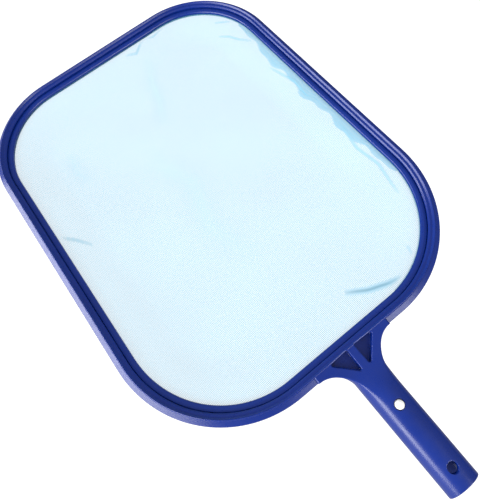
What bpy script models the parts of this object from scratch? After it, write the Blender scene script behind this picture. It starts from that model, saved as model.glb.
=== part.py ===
"""Leaf skimmer net: a moulded frame with a tubular socket, a snap-in net ring, a mesh net and a sprung clip.

Lengths are metres. The frame's net opening lies flat, +Z is up towards the open side of the net, the handle
socket runs along -Y, and the origin is the centre of the bounding box's bottom.
"""

import math

import bmesh
import bpy
import numpy as np

MM = 0.001

# Driving dimensions of the frame. The rim's path is the inner top edge of the frame moulding.
PATH_HALF_WIDTH = 145.0 * MM
PATH_HALF_LENGTH = 186.0 * MM
FAR_CORNER_RADIUS = 75.5 * MM
NEAR_CORNER_RADIUS = 93.5 * MM
EDGE_Z = 25.6 * MM
LIP_REACH = 9.2 * MM
CORNER_STEPS = 11
SIDE_STEPS = 2

# Driving dimensions of the tubular socket that fits inside a telescoping pole.
SOCKET_AXIS_Z = 15.9 * MM
SOCKET_LENGTH = 117.4 * MM
MOUTH_SLANT = 0.35
SOCKET_ROOT_RADIUS = 14.2 * MM
SOCKET_MOUTH_RADIUS = 13.4 * MM
SOCKET_SIDES = 32
BORE_DEPTH = 100.3 * MM
BORE_MOUTH_RADIUS = 10.6 * MM
BORE_END_RADIUS = 10.2 * MM
MOUTH_TO_SPARE_HOLE = 23.5 * MM
HOLE_SPACING = 49.6 * MM
HOLE_RADIUS = 4.5 * MM
HOLE_SIDES = 24

# Where the frame's centre and the socket's lowest, furthest point lie along Y, so that the origin is the middle
# of the whole. The mouth is cut on a slant, and its top lies nearer to the frame.
OVERALL_LENGTH = 2 * (PATH_HALF_LENGTH + LIP_REACH) + SOCKET_LENGTH
FRAME_Y = OVERALL_LENGTH / 2 - PATH_HALF_LENGTH - LIP_REACH
MOUTH_Y = -OVERALL_LENGTH / 2
HANDLE_EDGE_Y = FRAME_Y - PATH_HALF_LENGTH
LIP_Y = HANDLE_EDGE_Y - LIP_REACH
SPARE_HOLE_Y = MOUTH_Y + MOUTH_TO_SPARE_HOLE
BUTTON_Y = SPARE_HOLE_Y + HOLE_SPACING

# The gusset between the rim and the socket.
PLATE_TOP_Z = EDGE_Z + 1.5 * MM
PLATE_BOTTOM_Z = PLATE_TOP_Z - 7.5 * MM
POCKET_FLOOR_Z = PLATE_TOP_Z - 5.5 * MM
FILLET_RADIUS = 22.0 * MM
FILLET_STEPS = 10
WEB_WALL = 2.2 * MM
WEB_BOTTOM_Z = 14.0 * MM
POCKET_RIB_HALF = 3.2 * MM
POCKET_HALF_WIDTH = 22.2 * MM
POCKET_LENGTH = 18.8 * MM
POCKET_CORNER_RADIUS = 1.4 * MM
POCKET_EDGE_OFFSET = 3.6 * MM
PLATE_EDGE_OFFSET = 3.4 * MM
HOLLOW_EDGE_OFFSET = 6.4 * MM
HOLLOW_START_TURN = 0.2
OVERLAP = 5.0 * MM
FILLET_OVERLAP = 0.4 * MM
FILLET_STEP = 0.3 * MM
PLATE_STEP = 0.2 * MM
POCKET_SKEW = 0.6 * MM
BLEND_START = 11.0 * MM
BLEND_END = 27.0 * MM
BLEND_STEPS = 6

# The rim's section as (distance outwards from the path, height above the path) in millimetres.
RIM_SECTION = [
    (0.0, 0.0),
    (1.9, 0.3),
    (2.4, 1.6),
    (3.1, 2.0),
    (3.8, 1.6),
    (4.5, -0.2),
    (8.8, -2.0),
    (9.2, -2.6),
    (8.9, -3.9),
    (5.4, -4.4),
    (5.2, -12.4),
    (2.0, -12.4),
    (1.6, -8.6),
    (-4.4, -8.2),
    (-4.7, -6.9),
    (-0.4, -6.9),
    (-0.4, -2.5),
    (-0.9, -2.1),
    (-0.7, -0.9),
]
RING_SECTION = [
    (-0.7, -5.9),
    (-0.7, -3.3),
    (-1.2, -2.8),
    (-3.4, -2.6),
    (-5.3, -3.0),
    (-5.8, -3.9),
    (-5.8, -5.2),
    (-5.4, -5.9),
]

# The net's middle surface: the clamped hem, the steep side and where the bottom starts, then its sag.
NET_THICKNESS = 0.4 * MM
NET_HEM = [(-1.1, -6.4), (-5.2, -6.4), (-6.6, -7.2), (-9.4, -11.4), (-14.0, -12.9)]
NET_BOTTOM_SCALES = (0.78, 0.5, 0.2)
NET_BOTTOM_Z = EDGE_Z - 12.9 * MM
NET_SAG = 4.0 * MM

# The clip in the socket: a V-shaped leaf spring with a nylon button staked to each leg. The buttons' tips lie as
# far from the axis as the axis lies above the ground, so the back one's tip is the lowest point of the whole.
LEAF_THICKNESS = 0.6 * MM
LEAF_HALF_WIDTH = 4.0 * MM
LEG_HEIGHT = 8.6 * MM
LEG_END_PAST_BUTTON = 8.0 * MM
LEG_STRAIGHT_BEFORE_BUTTON = 7.0 * MM
LEG_CURL_LENGTH = 2.0 * MM
LEG_CURL_DROP = 1.5 * MM
APEX_CLEARANCE = 3.0 * MM
APEX_RADIUS = 1.6 * MM
APEX_STEPS = 8
STEM_HOLE_RADIUS = 2.3 * MM
STEM_RADIUS = 1.9 * MM
BUTTON_RADIUS = 3.6 * MM
BUTTON_HEAD_RADIUS = 3.4 * MM
BUTTON_HEAD_THICKNESS = 1.1 * MM
BUTTON_HEAD_EDGE = 0.5 * MM
BUTTON_DOME = 1.3 * MM
BUTTON_GAP = 0.3 * MM
BUTTON_TIP = SOCKET_AXIS_Z
BUTTON_STEPS = 24


def clear_scene():
    for obj in list(bpy.data.objects):
        bpy.data.objects.remove(obj, do_unlink=True)


def material(name, colour, roughness, metallic=0.0):
    made = bpy.data.materials.new(name)
    made.use_nodes = True
    shader = made.node_tree.nodes["Principled BSDF"]
    shader.inputs["Base Color"].default_value = (*colour, 1.0)
    shader.inputs["Roughness"].default_value = roughness
    shader.inputs["Metallic"].default_value = metallic
    return made


def mesh_object(name, points, faces, finish=None):
    mesh = bpy.data.meshes.new(name)
    mesh.from_pydata([tuple(point) for point in points], [], [tuple(face) for face in faces])
    shape = bmesh.new()
    shape.from_mesh(mesh)
    bmesh.ops.recalc_face_normals(shape, faces=shape.faces)
    shape.to_mesh(mesh)
    shape.free()
    obj = bpy.data.objects.new(name, mesh)
    bpy.context.scene.collection.objects.link(obj)
    if finish:
        mesh.materials.append(finish)
        mesh.shade_smooth()
        mesh.set_sharp_from_angle(angle=math.radians(35))
    return obj


def combine(target, helper, operation):
    """Adds an EXACT Boolean of the helper to the target and hides the helper."""
    modifier = target.modifiers.new(helper.name, "BOOLEAN")
    modifier.operation = operation
    modifier.solver = "EXACT"
    modifier.object = helper
    helper.hide_render = True
    helper.display_type = "WIRE"


def rim_path():
    """Points and outward normals once round the rounded rectangle, as two arrays of (x, y)."""
    corners = [
        (1, 1, FAR_CORNER_RADIUS),
        (-1, 1, FAR_CORNER_RADIUS),
        (-1, -1, NEAR_CORNER_RADIUS),
        (1, -1, NEAR_CORNER_RADIUS),
    ]
    points = []
    normals = []
    for index, (side, end, radius) in enumerate(corners):
        centre = np.array([side * (PATH_HALF_WIDTH - radius), end * (PATH_HALF_LENGTH - radius)])
        turn = np.linspace(0, math.pi / 2, CORNER_STEPS) + index * math.pi / 2
        arc = np.stack([np.cos(turn), np.sin(turn)], axis=1)
        points.extend(centre + radius * arc)
        normals.extend(arc)
        next_side, next_end, next_radius = corners[(index + 1) % 4]
        next_centre = np.array(
            [next_side * (PATH_HALF_WIDTH - next_radius), next_end * (PATH_HALF_LENGTH - next_radius)]
        )
        start = points[-1]
        finish = next_centre + next_radius * arc[-1]
        for share in np.linspace(0, 1, SIDE_STEPS + 2)[1:-1]:
            points.append(start + share * (finish - start))
            normals.append(arc[-1])
    return np.array(points) + [0, FRAME_Y], np.array(normals)


def ring_of_rim(outwards, height):
    """The closed row of points at one place of the section."""
    points, normals = rim_path()
    row = points + normals * outwards
    return np.column_stack([row, np.full(len(row), height)])


def strips(rows, count, closed_across):
    """Quads between rows of count points each; the last row meets the first if closed_across."""
    faces = []
    for row in range(rows if closed_across else rows - 1):
        here = row * count
        there = (row + 1) % rows * count
        for step in range(count):
            after = (step + 1) % count
            faces.append((here + step, here + after, there + after, there + step))
    return faces


def swept_ring(name, section, finish):
    rows = [ring_of_rim(outwards * MM, EDGE_Z + height * MM) for outwards, height in section]
    return mesh_object(name, np.concatenate(rows), strips(len(rows), len(rows[0]), True), finish)


def loft_along_y(name, stations):
    """A closed tube through cross-sections, each a (y, points of (x, z)) pair, with flat ends.

    The y is one number, or one for each point where the end is slanted.
    """
    count = len(stations[0][1])
    rows = [np.column_stack([xz[:, 0], np.broadcast_to(y, count), xz[:, 1]]) for y, xz in stations]
    faces = strips(len(rows), count, False)
    faces.append(tuple(range(count)))
    faces.append(tuple(range((len(rows) - 1) * count, len(rows) * count)))
    return mesh_object(name, np.concatenate(rows), faces)


def circle(radius, sides):
    turn = np.linspace(0, 2 * math.pi, sides, endpoint=False)
    return np.stack([radius * np.cos(turn), radius * np.sin(turn)], axis=1)


def prism(name, outline, bottom, top):
    """An outline of (x, y) points extruded from bottom to top."""
    count = len(outline)
    low = [(x, y, bottom) for x, y in outline]
    high = [(x, y, top) for x, y in outline]
    faces = [(i, (i + 1) % count, count + (i + 1) % count, count + i) for i in range(count)]
    faces.append(tuple(range(count)))
    faces.append(tuple(range(count, 2 * count)))
    return mesh_object(name, low + high, faces)


def rounded_corners(corners, radius, steps=4):
    """The outline of a polygon with each corner rounded by an arc."""
    outline = []
    corners = [np.array(corner) for corner in corners]
    for index, corner in enumerate(corners):
        before = corners[index - 1] - corner
        after = corners[(index + 1) % len(corners)] - corner
        before /= np.linalg.norm(before)
        after /= np.linalg.norm(after)
        half = math.acos(float(before @ after)) / 2
        middle = (before + after) / np.linalg.norm(before + after)
        centre = corner + middle * radius / math.sin(half)
        first = corner + before * radius / math.tan(half) - centre
        last = corner + after * radius / math.tan(half) - centre
        for share in np.linspace(0, 1, steps):
            spoke = first * (1 - share) + last * share
            outline.append(centre + spoke * radius / np.linalg.norm(spoke))
    return outline


def socket_radius(y):
    share = (LIP_Y - y) / SOCKET_LENGTH
    return SOCKET_ROOT_RADIUS + share * (SOCKET_MOUTH_RADIUS - SOCKET_ROOT_RADIUS)


def socket_body():
    """The tube's outer shape: round, with a slanted mouth and its top pressed down to the plate at the root."""
    root = HANDLE_EDGE_Y - PLATE_EDGE_OFFSET + FILLET_OVERLAP
    blend_start = LIP_Y - BLEND_START
    blend_end = LIP_Y - BLEND_END
    stations = []
    for y in [root, *np.linspace(blend_start, blend_end, BLEND_STEPS), MOUTH_Y]:
        ring = circle(socket_radius(y), SOCKET_SIDES)
        share = min(max((blend_start - y) / (blend_start - blend_end), 0), 1)
        rise = share * share * (3 - 2 * share)
        flat_top = PLATE_TOP_Z - PLATE_STEP - SOCKET_AXIS_Z
        ceiling = flat_top + rise * (socket_radius(y) - flat_top)
        ring[:, 1] = np.minimum(ring[:, 1], ceiling) + SOCKET_AXIS_Z
        stations.append((y, ring))
    mouth = stations[-1][1]
    slanted_y = MOUTH_Y + MOUTH_SLANT * (mouth[:, 1] - mouth[:, 1].min())
    return loft_along_y("socket_body", [*stations[:-1], (slanted_y, mouth)])


def fillet_arc(side, radius, start_turn=0.0):
    """An arc round the gusset's fillet centre, from beside the rim's lip to the socket's side."""
    centre_x = side * (SOCKET_ROOT_RADIUS + FILLET_RADIUS - FILLET_OVERLAP)
    centre_y = LIP_Y - FILLET_RADIUS + FILLET_STEP
    turn = np.linspace(start_turn, math.pi / 2, FILLET_STEPS)
    return [(centre_x - side * radius * math.sin(t), centre_y + radius * math.cos(t)) for t in turn]


def gusset_block():
    inner_y = HANDLE_EDGE_Y - PLATE_EDGE_OFFSET
    right = fillet_arc(1, FILLET_RADIUS)
    left = fillet_arc(-1, FILLET_RADIUS)
    outline = [(right[0][0], inner_y)] + right + left[::-1] + [(left[0][0], inner_y)]
    return prism("gusset_block", outline, WEB_BOTTOM_Z, PLATE_TOP_Z)


def gusset_hollow(side):
    """The cutter that leaves a thin plate and a curved wall on one side of the gusset."""
    arc = fillet_arc(side, FILLET_RADIUS + WEB_WALL, HOLLOW_START_TURN)
    skirt_y = HANDLE_EDGE_Y - HOLLOW_EDGE_OFFSET
    middle_x = side * (SOCKET_ROOT_RADIUS - OVERLAP)
    outline = [(arc[0][0], skirt_y)] + arc + [(middle_x, arc[-1][1]), (middle_x, skirt_y)]
    return prism(f"gusset_hollow_{side}", outline, WEB_BOTTOM_Z - OVERLAP, PLATE_BOTTOM_Z)


def pocket(side):
    """The cutter for one triangular pocket beside the gusset's middle rib."""
    near = HANDLE_EDGE_Y - POCKET_EDGE_OFFSET
    corners = [
        (side * POCKET_RIB_HALF, near),
        (side * POCKET_HALF_WIDTH, near - POCKET_SKEW),
        (side * (POCKET_RIB_HALF + POCKET_SKEW), near - POCKET_LENGTH),
    ]
    return prism(
        f"pocket_{side}",
        rounded_corners(corners, POCKET_CORNER_RADIUS),
        POCKET_FLOOR_Z,
        PLATE_TOP_Z + OVERLAP,
    )


def bore():
    end = MOUTH_Y + BORE_DEPTH
    mouth = circle(BORE_MOUTH_RADIUS, SOCKET_SIDES) + [0, SOCKET_AXIS_Z]
    blind = circle(BORE_END_RADIUS, SOCKET_SIDES) + [0, SOCKET_AXIS_Z]
    return loft_along_y("bore", [(end, blind), (MOUTH_Y - OVERLAP, mouth)])


def button_hole(name, y):
    """A cutter through both walls of the socket."""
    outline = circle(HOLE_RADIUS, HOLE_SIDES) + [0, y]
    return prism(name, outline, SOCKET_AXIS_Z - 4 * OVERLAP, SOCKET_AXIS_Z + 4 * OVERLAP)


def build_frame(finish):
    frame = swept_ring("frame", RIM_SECTION, finish)
    combine(frame, gusset_block(), "UNION")
    for side in (1, -1):
        combine(frame, gusset_hollow(side), "DIFFERENCE")
    combine(frame, socket_body(), "UNION")
    for side in (1, -1):
        combine(frame, pocket(side), "DIFFERENCE")
    combine(frame, bore(), "DIFFERENCE")
    combine(frame, button_hole("button_hole", BUTTON_Y), "DIFFERENCE")
    combine(frame, button_hole("spare_hole", SPARE_HOLE_Y), "DIFFERENCE")


def build_net(finish):
    """A thin bag: its two faces are the middle surface raised and lowered by half the thickness."""
    rows = [ring_of_rim(outwards * MM, EDGE_Z + height * MM) for outwards, height in NET_HEM]
    centre = np.array([0, FRAME_Y, 0])
    for scale in NET_BOTTOM_SCALES:
        row = centre + (rows[len(NET_HEM) - 1] - centre) * [scale, scale, 0]
        row[:, 2] = NET_BOTTOM_Z - NET_SAG * (1 - scale)
        rows.append(row)
    count = len(rows[0])
    middle = np.concatenate([*rows, [centre + [0, 0, NET_BOTTOM_Z - NET_SAG]]])
    lift = np.array([0, 0, NET_THICKNESS / 2])
    total = len(middle)
    faces = strips(len(rows), count, False)
    last_row = (len(rows) - 1) * count
    faces += [(last_row + i, last_row + (i + 1) % count, total - 1) for i in range(count)]
    under = [tuple(total + index for index in face) for face in faces]
    edge = [(i, (i + 1) % count, total + (i + 1) % count, total + i) for i in range(count)]
    mesh_object("net", np.concatenate([middle + lift, middle - lift]), faces + under + edge, finish)


def leg_line(side):
    """The middle line of one spring leg as (y, z) from the apex outwards."""
    apex_y = MOUTH_Y + BORE_DEPTH - APEX_CLEARANCE - APEX_RADIUS
    return [
        (apex_y, side * APEX_RADIUS),
        (BUTTON_Y + LEG_STRAIGHT_BEFORE_BUTTON, side * LEG_HEIGHT),
        (BUTTON_Y - LEG_END_PAST_BUTTON, side * LEG_HEIGHT),
        (BUTTON_Y - LEG_END_PAST_BUTTON - LEG_CURL_LENGTH, side * (LEG_HEIGHT - LEG_CURL_DROP)),
    ]


def build_spring(finish):
    """A strip bent to a V: its middle line is offset to both sides and extruded across X."""
    apex_y = leg_line(1)[0][0]
    turn = np.linspace(math.pi / 2, -math.pi / 2, APEX_STEPS + 1)[1:-1]
    bow = [(apex_y + APEX_RADIUS * math.cos(t), APEX_RADIUS * math.sin(t)) for t in turn]
    line = np.array(leg_line(1)[::-1] + bow + leg_line(-1))
    along = np.gradient(line, axis=0)
    along /= np.linalg.norm(along, axis=1)[:, None]
    across = np.stack([-along[:, 1], along[:, 0]], axis=1) * LEAF_THICKNESS / 2
    outline = np.concatenate([line + across, (line - across)[::-1]]) + [0, SOCKET_AXIS_Z]
    count = len(outline)
    left = np.column_stack([np.full(count, -LEAF_HALF_WIDTH), outline])
    right = np.column_stack([np.full(count, LEAF_HALF_WIDTH), outline])
    faces = [(i, (i + 1) % count, count + (i + 1) % count, count + i) for i in range(count)]
    half = count // 2
    for cap in (0, count):
        for i in range(half - 1):
            faces.append((cap + i, cap + i + 1, cap + count - 2 - i, cap + count - 1 - i))
    spring = mesh_object("v_spring", np.concatenate([left, right]), faces, finish)
    hole = circle(STEM_HOLE_RADIUS, BUTTON_STEPS) + [0, BUTTON_Y]
    combine(spring, prism("stem_hole", hole, 0, 2 * SOCKET_AXIS_Z), "DIFFERENCE")


def build_button(name, side, finish):
    """A turned button: a staked head inside the leg, a stem through it and a domed pin through the wall."""
    leg_outside = LEG_HEIGHT + LEAF_THICKNESS / 2
    leg_inside = LEG_HEIGHT - LEAF_THICKNESS / 2
    shoulder = leg_outside + BUTTON_GAP
    tip = BUTTON_TIP
    head = leg_inside - BUTTON_GAP
    section = [
        (0.0, head - BUTTON_HEAD_THICKNESS),
        (BUTTON_HEAD_RADIUS - BUTTON_HEAD_EDGE, head - BUTTON_HEAD_THICKNESS),
        (BUTTON_HEAD_RADIUS, head - BUTTON_HEAD_EDGE),
        (BUTTON_HEAD_RADIUS, head),
        (STEM_RADIUS, head),
        (STEM_RADIUS, shoulder),
        (BUTTON_RADIUS, shoulder),
        (BUTTON_RADIUS, tip - BUTTON_DOME),
        (BUTTON_RADIUS * 0.9, tip - 0.5 * BUTTON_DOME),
        (BUTTON_RADIUS * 0.6, tip - 0.12 * BUTTON_DOME),
        (0.0, tip),
    ]
    turn = np.linspace(0, 2 * math.pi, BUTTON_STEPS, endpoint=False)
    rows = [
        np.column_stack([r * np.cos(turn), r * np.sin(turn), np.full(BUTTON_STEPS, side * h)])
        for r, h in section[1:-1]
    ]
    ends = [(0, 0, side * section[0][1]), (0, 0, side * section[-1][1])]
    points = np.concatenate([*rows, ends])
    faces = strips(len(rows), BUTTON_STEPS, False)
    bottom = len(points) - 2
    last = (len(rows) - 1) * BUTTON_STEPS
    for step in range(BUTTON_STEPS):
        after = (step + 1) % BUTTON_STEPS
        faces.append((step, after, bottom))
        faces.append((last + step, last + after, bottom + 1))
    button = mesh_object(name, points, faces, finish)
    button.location = (0, BUTTON_Y, SOCKET_AXIS_Z)


def main():
    clear_scene()
    blue = material("blue_plastic", (0.022, 0.038, 0.30), 0.35)
    mesh_cloth = material("net_mesh", (0.72, 0.88, 0.95), 0.8)
    steel = material("spring_steel", (0.62, 0.63, 0.65), 0.3, 1.0)
    nylon = material("white_nylon", (0.86, 0.87, 0.88), 0.45)
    build_frame(blue)
    swept_ring("net_ring", RING_SECTION, blue)
    build_net(mesh_cloth)
    build_spring(steel)
    build_button("front_button", 1, nylon)
    build_button("back_button", -1, nylon)


main()
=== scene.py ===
"""Leaf skimmer net, dressed: the moulded frame, its snap-in ring, the mesh bag and the sprung clip.

It also gives them their finishes and sets up the studio and the camera.

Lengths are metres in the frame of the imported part. Each sub-assembly is a class that holds its sizes,
builds its meshes and gives them their finish.
"""

import logging
import math
from dataclasses import dataclass, field
from enum import Enum
from typing import Optional, Sequence

import bmesh
import bpy
import numpy as np
from mathutils import Matrix, Vector


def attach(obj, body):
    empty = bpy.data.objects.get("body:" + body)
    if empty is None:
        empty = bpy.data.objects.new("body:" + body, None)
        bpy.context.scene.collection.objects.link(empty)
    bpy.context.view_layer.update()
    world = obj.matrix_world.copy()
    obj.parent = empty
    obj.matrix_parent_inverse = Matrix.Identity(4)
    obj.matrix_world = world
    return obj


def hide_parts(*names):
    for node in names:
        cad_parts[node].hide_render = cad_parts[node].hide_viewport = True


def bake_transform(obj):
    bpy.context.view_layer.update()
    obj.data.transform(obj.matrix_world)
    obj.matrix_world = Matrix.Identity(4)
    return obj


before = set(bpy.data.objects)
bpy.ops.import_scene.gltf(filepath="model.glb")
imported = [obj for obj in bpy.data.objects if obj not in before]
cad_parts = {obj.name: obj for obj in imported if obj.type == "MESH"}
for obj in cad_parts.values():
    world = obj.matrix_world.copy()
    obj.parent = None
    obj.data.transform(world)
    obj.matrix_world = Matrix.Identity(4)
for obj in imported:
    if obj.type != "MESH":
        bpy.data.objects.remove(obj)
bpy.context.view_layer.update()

MM = 0.001
LOG = logging.getLogger("skimmer")

Piece = bpy.types.Object
Tree = bpy.types.NodeTree
Output = bpy.types.NodeSocket


# ---------------------------------------------------------------- shapes


def rounded_profile(corners: Sequence[tuple], radii: Sequence[float], steps: int = 5) -> np.ndarray:
    """Rounds every corner of a closed outline with an arc that touches both of its sides.

    The arc's centre lies on the corner's bisector, at the radius over the sine of half the corner's angle.
    The arc is cut short where a side is too short for it.

    Args:
        corners: The outline's corners in order.
        radii: One radius for each corner.
        steps: Points on each arc.

    Returns:
        The rounded outline, one row for each point.
    """
    corner = np.asarray(corners, float)
    back = np.roll(corner, 1, axis=0) - corner
    ahead = np.roll(corner, -1, axis=0) - corner
    back_length = np.linalg.norm(back, axis=1)
    ahead_length = np.linalg.norm(ahead, axis=1)
    back = back / back_length[:, None]
    ahead = ahead / ahead_length[:, None]
    half = np.arccos(np.clip((back * ahead).sum(1), -1, 1)) / 2
    wanted = np.asarray(radii, float) / np.tan(half)
    reach = np.minimum(wanted, 0.48 * np.minimum(back_length, ahead_length))
    radius = reach * np.tan(half)
    middle = back + ahead
    middle = middle / np.linalg.norm(middle, axis=1)[:, None]
    centre = corner + middle * (radius / np.sin(half))[:, None]
    first = corner + back * reach[:, None] - centre
    last = corner + ahead * reach[:, None] - centre
    share = np.linspace(0, 1, steps)[None, :, None]
    spoke = first[:, None] * (1 - share) + last[:, None] * share
    spoke = spoke * (radius[:, None] / np.linalg.norm(spoke, axis=2))[:, :, None]
    return (centre[:, None] + spoke).reshape(-1, corner.shape[1])


def grid_faces(rows: int, columns: int, wrap_rows: bool, wrap_columns: bool) -> np.ndarray:
    """The quads of a grid of points.

    Args:
        rows: Rows in the grid.
        columns: Points in each row.
        wrap_rows: Whether the last row meets the first.
        wrap_columns: Whether each row's last point meets its first.

    Returns:
        Point indices, four for each quad.
    """
    row = np.arange(rows if wrap_rows else rows - 1)[:, None]
    column = np.arange(columns if wrap_columns else columns - 1)[None, :]
    next_row = (row + 1) % rows
    next_column = (column + 1) % columns
    here, beyond = row * columns, next_row * columns
    quads = np.stack([here + column, here + next_column, beyond + next_column, beyond + column], axis=-1)
    return quads.reshape(-1, 4)


def mesh_object(name: str, points: np.ndarray, faces: list, outwards: bool = True) -> Piece:
    """Links a new object whose place is in its mesh.

    Args:
        name: The object's name.
        points: One row of x, y, z for each point.
        faces: Point indices of each face.
        outwards: Whether the shape is closed, so that its faces are turned outwards.

    Returns:
        The object.
    """
    mesh = bpy.data.meshes.new(name)
    mesh.from_pydata(points.tolist(), [], faces)
    if outwards:
        shape = bmesh.new()
        shape.from_mesh(mesh)
        bmesh.ops.recalc_face_normals(shape, faces=shape.faces)
        shape.to_mesh(mesh)
        shape.free()
    mesh.shade_smooth()
    made = bpy.data.objects.new(name, mesh)
    bpy.context.scene.collection.objects.link(made)
    return made


def loft(name: str, rows: np.ndarray) -> Piece:
    """A closed tube through equal rows of points, with a flat end at its first and last row.

    Args:
        name: The object's name.
        rows: An array of rows, points and x, y, z.

    Returns:
        The object.
    """
    count, columns = rows.shape[:2]
    faces = grid_faces(count, columns, False, True).tolist()
    faces += [list(range(columns)), list(range((count - 1) * columns, count * columns))]
    return mesh_object(name, rows.reshape(-1, 3), faces)


def closed_ring(name: str, rows: np.ndarray) -> Piece:
    """A closed surface through equal rows of points, in which every row and every column runs round."""
    return mesh_object(name, rows.reshape(-1, 3), grid_faces(*rows.shape[:2], True, True).tolist())


def raised(plan: np.ndarray, height: np.ndarray) -> np.ndarray:
    """Gives each row of x, y points its own height."""
    return np.concatenate([plan, np.broadcast_to(height[:, None, None], (*plan.shape[:2], 1))], axis=2)


def prism(name: str, outline: np.ndarray, levels: np.ndarray) -> Piece:
    """A closed upright shape that has the same outline at each level."""
    return loft(name, raised(np.broadcast_to(outline, (len(levels), *outline.shape)), levels))


def combine(target: Piece, tool: Piece, operation: str) -> None:
    """Joins or cuts the target with the tool, keeps the result in the target's mesh and removes the tool.

    Args:
        target: The object that is changed.
        tool: The closed object that is added or taken away.
        operation: UNION or DIFFERENCE.
    """
    step = target.modifiers.new("combine", "BOOLEAN")
    step.operation = operation
    step.solver = "EXACT"
    step.object = tool
    graph = bpy.context.evaluated_depsgraph_get()
    result = bpy.data.meshes.new_from_object(target.evaluated_get(graph))
    target.modifiers.clear()
    old = target.data
    target.data = result
    bpy.data.meshes.remove(old)
    bpy.data.objects.remove(tool, do_unlink=True)


def smooth_step(value: np.ndarray) -> np.ndarray:
    """The curve 3v² − 2v³ of a value held between 0 and 1."""
    held = np.clip(value, 0, 1)
    return held * held * (3 - 2 * held)


def quarter(radius: float, steps: int = 5) -> tuple[np.ndarray, np.ndarray]:
    """A quarter circle that rounds an edge: how far it lies inside the side, and how far below the top."""
    turn = np.linspace(0, math.pi / 2, steps)
    return radius * (1 - np.cos(turn)), radius * (1 - np.sin(turn))


def flare(radius: float) -> tuple[np.ndarray, np.ndarray]:
    """A cutter's lip that rounds an edge: how far it lies outside the wall, and how far below the surface.

    It follows a quarter circle for 60 degrees and then leaves the surface in a straight line.
    """
    turn = np.linspace(0, math.pi / 3, 5)
    out = radius * (1 - np.cos(turn))
    below = radius * (1 - np.sin(turn))
    step = radius * np.array([math.sin(turn[-1]), -math.cos(turn[-1])])
    return np.append(out, out[-1] + step[0]), np.append(below, below[-1] + step[1])


@dataclass(frozen=True)
class RimPath:
    """The rounded rectangle along which the frame's and the ring's sections are carried."""

    half_width: float = 145.0 * MM
    half_length: float = 186.0 * MM
    far_radius: float = 75.5 * MM
    near_radius: float = 93.5 * MM
    centre_y: float = 58.7 * MM

    def sample(self, corner_steps: int = 40, side_steps: int = 12) -> tuple[np.ndarray, np.ndarray]:
        """Points once round the path, counterclockwise from the far end of the right side.

        A corner is a quarter circle about its centre, and a side is the straight line from one corner's
        last point to the next one's first.

        Args:
            corner_steps: Points on each corner.
            side_steps: Points between two corners.

        Returns:
            The points and their outward normals, each one row of x and y for each point.
        """
        side = np.array([1, -1, -1, 1])
        end = np.array([1, 1, -1, -1])
        radius = np.array([self.far_radius, self.far_radius, self.near_radius, self.near_radius])
        centre = np.stack([side * (self.half_width - radius), end * (self.half_length - radius)], axis=1)
        turn = np.linspace(0, math.pi / 2, corner_steps)[None, :] + np.arange(4)[:, None] * math.pi / 2
        normal = np.stack([np.cos(turn), np.sin(turn)], axis=2)
        arc = centre[:, None] + radius[:, None, None] * normal
        share = (np.arange(1, side_steps + 1) / (side_steps + 1))[None, :, None]
        straight = arc[:, -1:] * (1 - share) + np.roll(arc, -1, axis=0)[:, :1] * share
        flat_normal = np.repeat(normal[:, -1:], side_steps, axis=1)
        points = np.concatenate([arc, straight], axis=1).reshape(-1, 2) + [0, self.centre_y]
        return points, np.concatenate([normal, flat_normal], axis=1).reshape(-1, 2)

    def carry(self, section: np.ndarray, edge_z: float, corner_steps: int = 40) -> np.ndarray:
        """Carries a section round the path.

        Each point lies at the path's point plus its normal times the section's first number, at the edge's
        height plus the section's second.

        Args:
            section: One row of (outwards, height) for each point.
            edge_z: The height that the section is measured from.
            corner_steps: Points on each corner.

        Returns:
            An array of section points, path points and x, y, z.
        """
        points, normals = self.sample(corner_steps)
        plan = points[None] + normals[None] * section[:, 0, None, None]
        return raised(plan, edge_z + section[:, 1])


# ---------------------------------------------------------------- finishes


def new_material(name: str) -> tuple[bpy.types.Material, Tree, bpy.types.Node]:
    """A material with its node tree and its Principled shader."""
    made = bpy.data.materials.new(name)
    made.use_nodes = True
    tree = made.node_tree
    return made, tree, tree.nodes["Principled BSDF"]


def noise(tree: Tree, source: Output, scale: float, detail: float = 3.0) -> Output:
    """A noise value that reads the given coordinates.

    Args:
        tree: The material's nodes.
        source: The coordinates' socket.
        scale: Patches for each metre.
        detail: Octaves of finer noise.

    Returns:
        The noise's value socket.
    """
    node = tree.nodes.new("ShaderNodeTexNoise")
    node.inputs["Scale"].default_value = scale
    node.inputs["Detail"].default_value = detail
    tree.links.new(source, node.inputs["Vector"])
    return node.outputs["Fac"]


def spread(tree: Tree, value: Output, low: float, high: float) -> Output:
    """Maps noise from its usual 0.3 to 0.7 onto low to high."""
    node = tree.nodes.new("ShaderNodeMapRange")
    node.inputs["From Min"].default_value = 0.3
    node.inputs["From Max"].default_value = 0.7
    node.inputs["To Min"].default_value = low
    node.inputs["To Max"].default_value = high
    tree.links.new(value, node.inputs["Value"])
    return node.outputs["Result"]


def two_colours(tree: Tree, value: Output, low: tuple, high: tuple) -> Output:
    """A colour that goes from low to high as the value goes from 0 to 1."""
    node = tree.nodes.new("ShaderNodeMix")
    node.data_type = "RGBA"
    node.inputs["A"].default_value = (*low, 1)
    node.inputs["B"].default_value = (*high, 1)
    tree.links.new(value, node.inputs["Factor"])
    return node.outputs["Result"]


def bump(tree: Tree, height: Output, strength: float, distance: float) -> None:
    """Roughens the Principled shader's normal with a height.

    Args:
        tree: The material's nodes.
        height: The height's socket.
        strength: From 0 to 1.
        distance: What a height of 1 stands for, in metres.
    """
    node = tree.nodes.new("ShaderNodeBump")
    node.inputs["Strength"].default_value = strength
    node.inputs["Distance"].default_value = distance
    tree.links.new(height, node.inputs["Height"])
    tree.links.new(node.outputs["Normal"], tree.nodes["Principled BSDF"].inputs["Normal"])


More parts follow.
